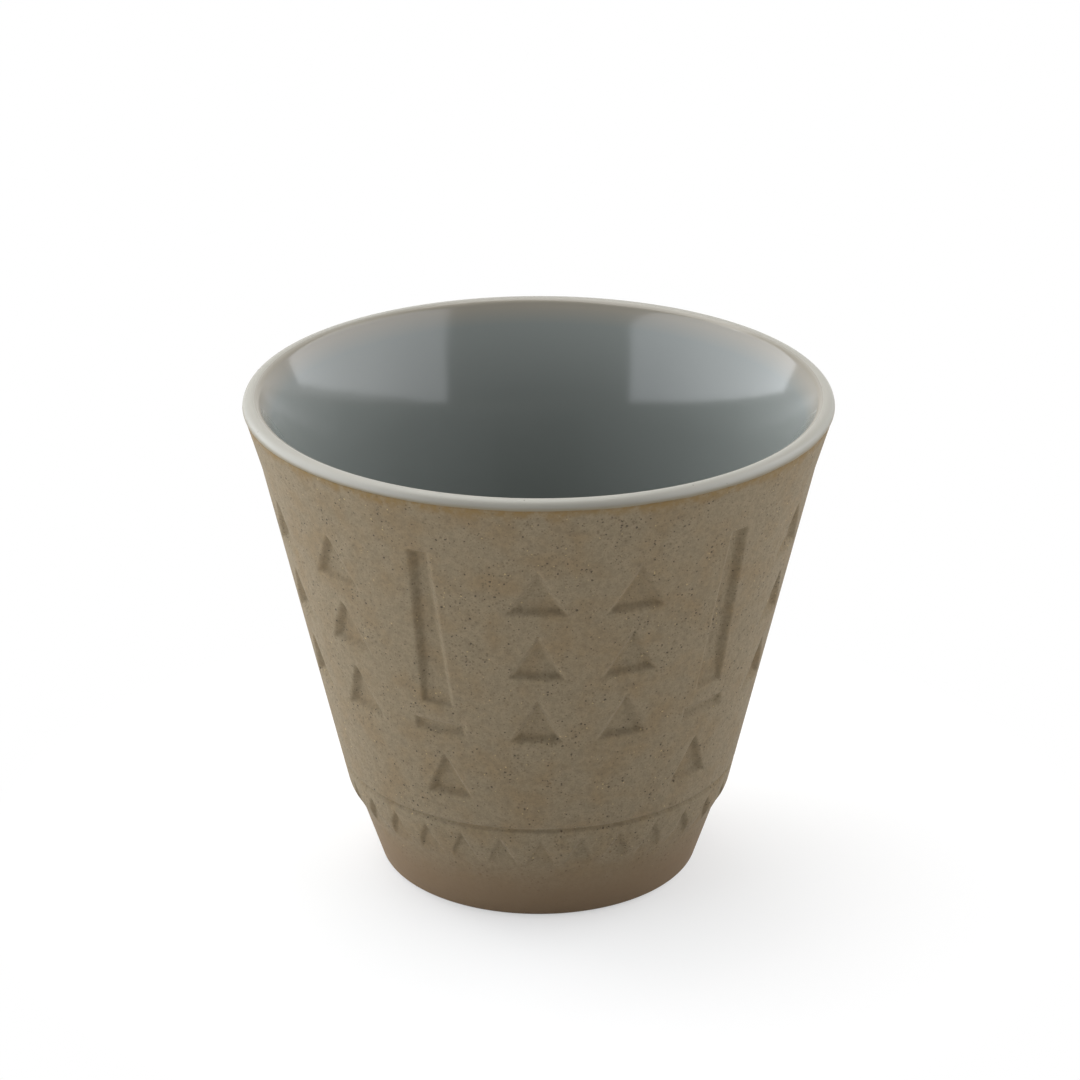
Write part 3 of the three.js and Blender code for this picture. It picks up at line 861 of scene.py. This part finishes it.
def over_lip(offset, edge):
    """Over the lip from inside to the edge outside, where the coat ends thinner."""
    inside = arc(lip_inner, inner_round + offset, flare_top, math.pi / 2, GLAZE_INNER_LIP_ROWS)
    turns = np.linspace(math.pi / 2, GLAZE_EDGE_ANGLE, GLAZE_LIP_ROWS + 1)[1:]
    thinned = [offset + (edge - offset) * smooth(a, THINNING_ANGLE, GLAZE_EDGE_ANGLE) for a in turns]
    return inside + [lip_outer + direction(a) * (outer_round + t) for a, t in zip(turns, thinned)]


seat_rows = lining(GLAZE_SEAT_GAP) + over_lip(GLAZE_SEAT_GAP, GLAZE_SEAT_GAP)
surface_rows = lining(coat) + over_lip(coat, GLAZE_SEAT_GAP + GLAZE_EDGE)
glaze_outline = seat_rows + surface_rows[::-1]


def near_edge(point):
    """0 on the crown of the lip and 1 at the edge of the coat outside."""
    turn_at = math.atan2(point.y - lip_outer.y, point.x - lip_outer.x)
    return smooth(turn_at, FADING_ANGLE, GLAZE_EDGE_ANGLE) if point.x > lip_outer.x else 0.0


def thinness(point):
    """1 where the coat is so thin that the clay shows through it."""
    turn_at = math.atan2(point.y - lip_inner.y, point.x - lip_inner.x)
    reach = inner_round + coat + ON_SURFACE
    on_lip = point.x < lip_outer.x and (point - lip_inner).length < reach
    broken = math.exp(-((turn_at - BREAK_ANGLE) / BREAK_SPREAD) ** 2) if on_lip else 0.0
    return max(near_edge(point), BREAK_SHARE * broken)


glaze_points = [(p.x, thinness(p), p.y) for p in glaze_outline]
glaze_coat = guide("glaze_coat", glaze_points, mark=[near_edge(p) for p in glaze_outline])
print(len(glaze_points), "rows, surface", round(coat, 2), "mm off the clay")

# %% [markdown]
# The edge of a poured glaze wavers, here by about a tenth of a millimetre. A random number for each
# point would make it jagged. A noise that is read on a circle runs smoothly and closes on itself after
# one turn, so the edge has no seam.

# %% The tree that lays the glaze
coat_tree, given, result = new_group(
    "glaze coat",
    {"Geometry": "Geometry", "Columns": "Int", "Rows": "Int", "Wall Lean": "Float",
     "Edge Waver": "Float", "Waves Per Radius": "Float", "Material": "Material"},
    {"Geometry": "Geometry"})
turned = add(coat_tree, "GeometryNodeGroup", {
    "Outline": given["Geometry"], "Columns": given["Columns"], "Rows": given["Rows"]},
    node_tree=grid_tree)
sine = add(coat_tree, "ShaderNodeMath", {0: turned.outputs["Angle"]}, operation="SINE")
cosine = add(coat_tree, "ShaderNodeMath", {0: turned.outputs["Angle"]}, operation="COSINE")
circle = add(coat_tree, "ShaderNodeCombineXYZ", {0: sine, 1: cosine})
noise = add(coat_tree, "ShaderNodeTexNoise", {
    "Vector": circle, "Scale": given["Waves Per Radius"], "Detail": 2.0})
spread = add(coat_tree, "ShaderNodeMath", {0: given["Edge Waver"], 1: -1.0}, operation="MULTIPLY")
waver = add(coat_tree, "ShaderNodeMapRange", {
    "Value": noise, "From Min": 0.3, "From Max": 0.7, "To Min": spread, "To Max": given["Edge Waver"]})
move = add(coat_tree, "ShaderNodeMath", {0: waver, 1: turned.outputs["Mark"]}, operation="MULTIPLY")
lean_cosine = add(coat_tree, "ShaderNodeMath", {0: given["Wall Lean"]}, operation="COSINE")
lean_sine = add(coat_tree, "ShaderNodeMath", {0: given["Wall Lean"]}, operation="SINE")
outward = add(coat_tree, "ShaderNodeMath", {0: move, 1: lean_sine}, operation="MULTIPLY")
upward = add(coat_tree, "ShaderNodeMath", {0: move, 1: lean_cosine}, operation="MULTIPLY")
radius = add(coat_tree, "ShaderNodeMath", {0: turned.outputs["Radius"], 1: outward}, operation="ADD")
height = add(coat_tree, "ShaderNodeMath", {0: turned.outputs["Height"], 1: upward}, operation="ADD")
marked = add(coat_tree, "GeometryNodeStoreNamedAttribute", {
    "Geometry": turned.outputs["Grid"], "Name": "thinness", "Value": turned.outputs["Note"]},
    domain="POINT")
rolled = add(coat_tree, "GeometryNodeGroup", {
    "Grid": marked, "Angle": turned.outputs["Angle"], "Radius": radius, "Height": height,
    "Material": given["Material"]}, node_tree=roll_tree)
finish_group(coat_tree, result, Geometry=rolled.outputs[0])
print(len(coat_tree.nodes), "nodes lay the glaze")

# %% [markdown]
# ## Celadon glaze
#
# Celadon is a clear glass with a trace of iron. It is grey-green up the inside, painted darker down
# towards the floor as shade deep in the hollow, warmer just below the lip, and painted paler on the lip
# as the light it catches, with a few of the clay's iron specks in it. Where it ends, the clay shows
# through.
# Real glass over clay would need many bounces of light to show this. A glossy Principled shader with
# those colours gives much the same look for less.

# %% Colours of the glaze
CELADON = "#7B7F7B"
# Painted shade: darker glaze deep in the hollow, where little light reaches.
CELADON_SHADED_DEEP = "#6B716E"
WARM_GLAZE = "#8A857A"
# Painted light: the lip is painted paler than the inside, for the light it catches.
LIT_LIP_GLAZE = "#949187"
THIN_GLAZE = "#7C725C"
DEEP_SHADE_TOP_SHARE = 0.5
WARM_START_BELOW_RIM = 3.6
WARM_FULL_BELOW_RIM = 1.2
LIP_START_INSIDE = 1.1
LIP_FULL_OUTSIDE = 0.1
LIP_SPECK_SPACING = 1.6

# A glass melted onto the clay: the eye gets a clear, cool depth with sharp windows of light in it.
celadon, tree, shader = new_material("celadon_glaze")
here = add(tree, "ShaderNodeTexCoord").outputs["Object"]
up = add(tree, "ShaderNodeSeparateXYZ", {0: here}).outputs["Z"]
# Painted shade, growing from half the cup's height down to the floor.
deep_shade = add(tree, "ShaderNodeMapRange", {
    "Value": up, "From Min": cup_height * DEEP_SHADE_TOP_SHARE * MM, "From Max": FLOOR_HEIGHT * MM})
colour = add(tree, "ShaderNodeMix", {
    0: deep_shade, 6: linear(CELADON), 7: linear(CELADON_SHADED_DEEP)}, data_type="RGBA").outputs[2]
warm = add(tree, "ShaderNodeMapRange", {
    "Value": up, "From Min": (cup_height - WARM_START_BELOW_RIM) * MM,
    "From Max": (cup_height - WARM_FULL_BELOW_RIM) * MM})
colour = add(tree, "ShaderNodeMix", {
    0: warm, 6: colour, 7: linear(WARM_GLAZE)}, data_type="RGBA").outputs[2]
from_axis = add(tree, "ShaderNodeVectorMath", {0: here, 1: (1, 1, 0)}, operation="MULTIPLY")
from_axis = add(tree, "ShaderNodeVectorMath", {0: from_axis}, operation="LENGTH").outputs["Value"]
on_lip = add(tree, "ShaderNodeMapRange", {
    "Value": from_axis, "From Min": (lip_outer.x - LIP_START_INSIDE) * MM,
    "From Max": (lip_outer.x + LIP_FULL_OUTSIDE) * MM}, interpolation_type="SMOOTHSTEP")
# Painted light: the paler colour of the lip.
colour = add(tree, "ShaderNodeMix", {
    0: on_lip, 6: colour, 7: linear(LIT_LIP_GLAZE)}, data_type="RGBA").outputs[2]
speck = specks(tree, here, LIP_SPECK_SPACING, empty=0.35, size=0.16, crowd=on_lip, strength=0.6)
colour = add(tree, "ShaderNodeMix", {
    0: speck, 6: colour, 7: linear(IRON)}, data_type="RGBA").outputs[2]
thin_here = add(tree, "ShaderNodeAttribute", attribute_name="thinness").outputs["Fac"]
colour = add(tree, "ShaderNodeMix", {
    0: thin_here, 6: colour, 7: linear(THIN_GLAZE)}, data_type="RGBA").outputs[2]
print("the colours take", len(tree.nodes), "nodes")

# %% [markdown]
# The inside is glossy, with the slight unevenness of a surface that was once liquid. The lip is duller,
# because the thin coat there took up the roughness of the clay.

# %% Gloss of the glaze
GLAZE_WAVE = 9.0
GLAZE_WAVE_DEPTH = 0.2
GLAZE_ROUGHNESS = 0.13
LIP_ROUGHNESS = 0.38
GLAZE_IOR = 1.46

wave = add(tree, "ShaderNodeTexNoise", {"Vector": here, "Scale": per_mm(GLAZE_WAVE), "Detail": 1.0})
bump = add(tree, "ShaderNodeBump", {
    "Strength": 0.15, "Distance": GLAZE_WAVE_DEPTH * MM, "Height": wave})
tree.links.new(colour, shader.inputs["Base Color"])
tree.links.new(bump.outputs[0], shader.inputs["Normal"])
gloss = add(tree, "ShaderNodeMapRange", {
    "Value": on_lip, "To Min": GLAZE_ROUGHNESS, "To Max": LIP_ROUGHNESS})
tree.links.new(gloss.outputs[0], shader.inputs["Roughness"])
shader.inputs["IOR"].default_value = GLAZE_IOR
print(celadon.name, "has", len(tree.nodes), "nodes in all")

# %% [markdown]
# ## The glaze coat
#
# The coat's outline is turned like the clay's, on a coarser grid, because nothing is stamped into it.
# The mesh replaces the solid of the glaze.

# %% Lay the glaze
GLAZE_COLUMNS = 360
EDGE_WAVER = 0.1
WAVES_PER_RADIUS = 6.0

bpy.context.scene.collection.objects.link(glaze_coat)
run_tree(glaze_coat, coat_tree, Columns=GLAZE_COLUMNS, Rows=len(glaze_points), Wall_Lean=wall_lean,
         Edge_Waver=EDGE_WAVER, Waves_Per_Radius=WAVES_PER_RADIUS, Material=celadon)
to_mesh(glaze_coat)
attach(glaze_coat, "root")
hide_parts("glaze_lining")

# %% [markdown]
# ## Floor
#
# The cup stands on white paper. Lighting the paper until it is pure white would wash out the cup. So a
# ray from the camera, or from a mirror image, sees a white glow there instead of the lit paper. Close
# to the cup half of the paper stays, which keeps the cup's shadow.

# %% Floor
PAPER = "#F4F3F1"
PAPER_ROUGHNESS = 0.9
PAPER_HALF = 2
PAPER_DROP = 0.02
SHADOW_NEAR = 24
SHADOW_FAR = 90
GLOW_AT_CUP = 0.5

corners = [(x * PAPER_HALF, y * PAPER_HALF, 0) for x, y in ((-1, -1), (1, -1), (1, 1), (-1, 1))]
floor_mesh = bpy.data.meshes.new("floor")
floor_mesh.from_pydata(corners, [], [(0, 1, 2, 3)])
floor = bpy.data.objects.new("floor", floor_mesh)
floor.location.z = -PAPER_DROP * MM
bpy.context.scene.collection.objects.link(floor)
# Matt paper: the eye gets a plain white ground with a soft shadow.
paper, tree, shader = new_material("white_paper")
shader.inputs["Base Color"].default_value = linear(PAPER)
shader.inputs["Roughness"].default_value = PAPER_ROUGHNESS
path = add(tree, "ShaderNodeLightPath").outputs
seen = add(tree, "ShaderNodeMath", {
    0: path["Is Camera Ray"], 1: path["Is Glossy Ray"]}, operation="MAXIMUM")
seen = add(tree, "ShaderNodeMath", {
    0: seen, 1: path["Is Transmission Ray"]}, operation="MAXIMUM")
from_cup = add(tree, "ShaderNodeVectorMath", {
    0: add(tree, "ShaderNodeTexCoord").outputs["Object"]}, operation="LENGTH").outputs["Value"]
fade = add(tree, "ShaderNodeMapRange", {
    "Value": from_cup, "From Min": SHADOW_NEAR * MM, "From Max": SHADOW_FAR * MM,
    "To Min": GLOW_AT_CUP})
white = add(tree, "ShaderNodeMath", {0: seen, 1: fade}, operation="MULTIPLY")
glow = add(tree, "ShaderNodeEmission", {"Color": (1, 1, 1, 1), "Strength": 1.0})
sweep = add(tree, "ShaderNodeMixShader", {0: white, 1: shader, 2: glow})
tree.links.new(sweep.outputs[0], tree.nodes["Material Output"].inputs["Surface"])
floor_mesh.materials.append(paper)
print("the floor is", 2 * PAPER_HALF, "m wide")

# %% [markdown]
# ## The room
#
# Nothing bright stands in front of the cup, which is why its wall is darkest in the middle. The world
# is dark there and pale behind. In mirror images it is paler, as a white studio looks, and the camera
# sees plain white.

# %% The room
ROOM_FRONT = 0.02
ROOM_BACK = 1.0
GLOSS_FRONT = 0.2
# How far towards the back the room turns pale, from -1 in front to 1 behind.
ROOM_TURN = (-0.3, 0.8)
GLOSS_TURN = (-0.6, 0.0)

world = bpy.data.worlds.new("studio")
bpy.context.scene.world = world
world.use_nodes = True
tree = world.node_tree
path = add(tree, "ShaderNodeLightPath")
glossy = add(tree, "ShaderNodeMath", {
    0: path.outputs["Is Glossy Ray"], 1: path.outputs["Is Transmission Ray"]}, operation="MAXIMUM")
look = add(tree, "ShaderNodeSeparateXYZ", {0: add(tree, "ShaderNodeTexCoord").outputs["Generated"]})
room = add(tree, "ShaderNodeMapRange", {
    "Value": look.outputs["Y"], "From Min": ROOM_TURN[0], "From Max": ROOM_TURN[1],
    "To Min": ROOM_FRONT, "To Max": ROOM_BACK}, interpolation_type="SMOOTHSTEP")
mirrored = add(tree, "ShaderNodeMapRange", {
    "Value": look.outputs["Y"], "From Min": GLOSS_TURN[0], "From Max": GLOSS_TURN[1],
    "To Min": GLOSS_FRONT, "To Max": 1.0}, interpolation_type="SMOOTHSTEP")
level = add(tree, "ShaderNodeMix", {0: glossy, 2: room, 3: mirrored})
level = add(tree, "ShaderNodeMix", {0: path.outputs["Is Camera Ray"], 2: level, 3: 1.0})
tree.links.new(level.outputs[0], tree.nodes["Background"].inputs["Strength"])
tree.nodes["Background"].inputs["Color"].default_value = (1, 1, 1, 1)
print(world.name, "has", len(tree.nodes), "nodes")

# %% [markdown]
# ## Softboxes
#
# Two large, slightly cool softboxes stand at the sides, and a smaller one hangs over the back. The
# hollow glaze mirrors the side ones crosswise: the left pale window in it is the right softbox. Their
# front ends make the dark gap between the windows, and their back ends and lower edges the other sides,
# so their places follow from where the windows lie. Light that the paper throws back fills the wall.

# %% Softboxes
SIDE_RADIANCE = 2.9
RIGHT_SHARE = 0.88
BACK_RADIANCE = 3.0
LEFT_TINT = "#F3F8FF"
RIGHT_TINT = "#F7FAFF"
WHITE = "#FFFFFF"


def softbox(name, place, aim, size, radiance, tint):
    """A rectangular area light that shines from a place towards a point, in metres."""
    lamp = bpy.data.lights.new(name, "AREA")
    lamp.shape = "RECTANGLE"
    lamp.color = linear(tint)[:3]
    lamp.size, lamp.size_y = size
    lamp.energy = radiance * math.pi * lamp.size * lamp.size_y
    light = bpy.data.objects.new(name, lamp)
    light.location = place
    light.rotation_euler = (Vector(aim) - Vector(place)).to_track_quat("-Z", "Y").to_euler()
    light.visible_camera = False
    bpy.context.scene.collection.objects.link(light)
    print(name, round(lamp.energy, 2), "W")


softbox("left_softbox", place=(-0.55, 0.025, 0.38), aim=(0, 0.025, 0.38), size=(1.1, 0.66),
        radiance=SIDE_RADIANCE, tint=LEFT_TINT)
softbox("right_softbox", place=(0.55, -0.026, 0.55), aim=(0, -0.026, 0.55), size=(1, 0.72),
        radiance=SIDE_RADIANCE * RIGHT_SHARE, tint=RIGHT_TINT)
softbox("back_softbox", place=(-0.2, 0.25, 0.85), aim=(0, 0, 0), size=(0.8, 0.7),
        radiance=BACK_RADIANCE, tint=WHITE)
bpy.context.scene.view_settings.view_transform = "Standard"
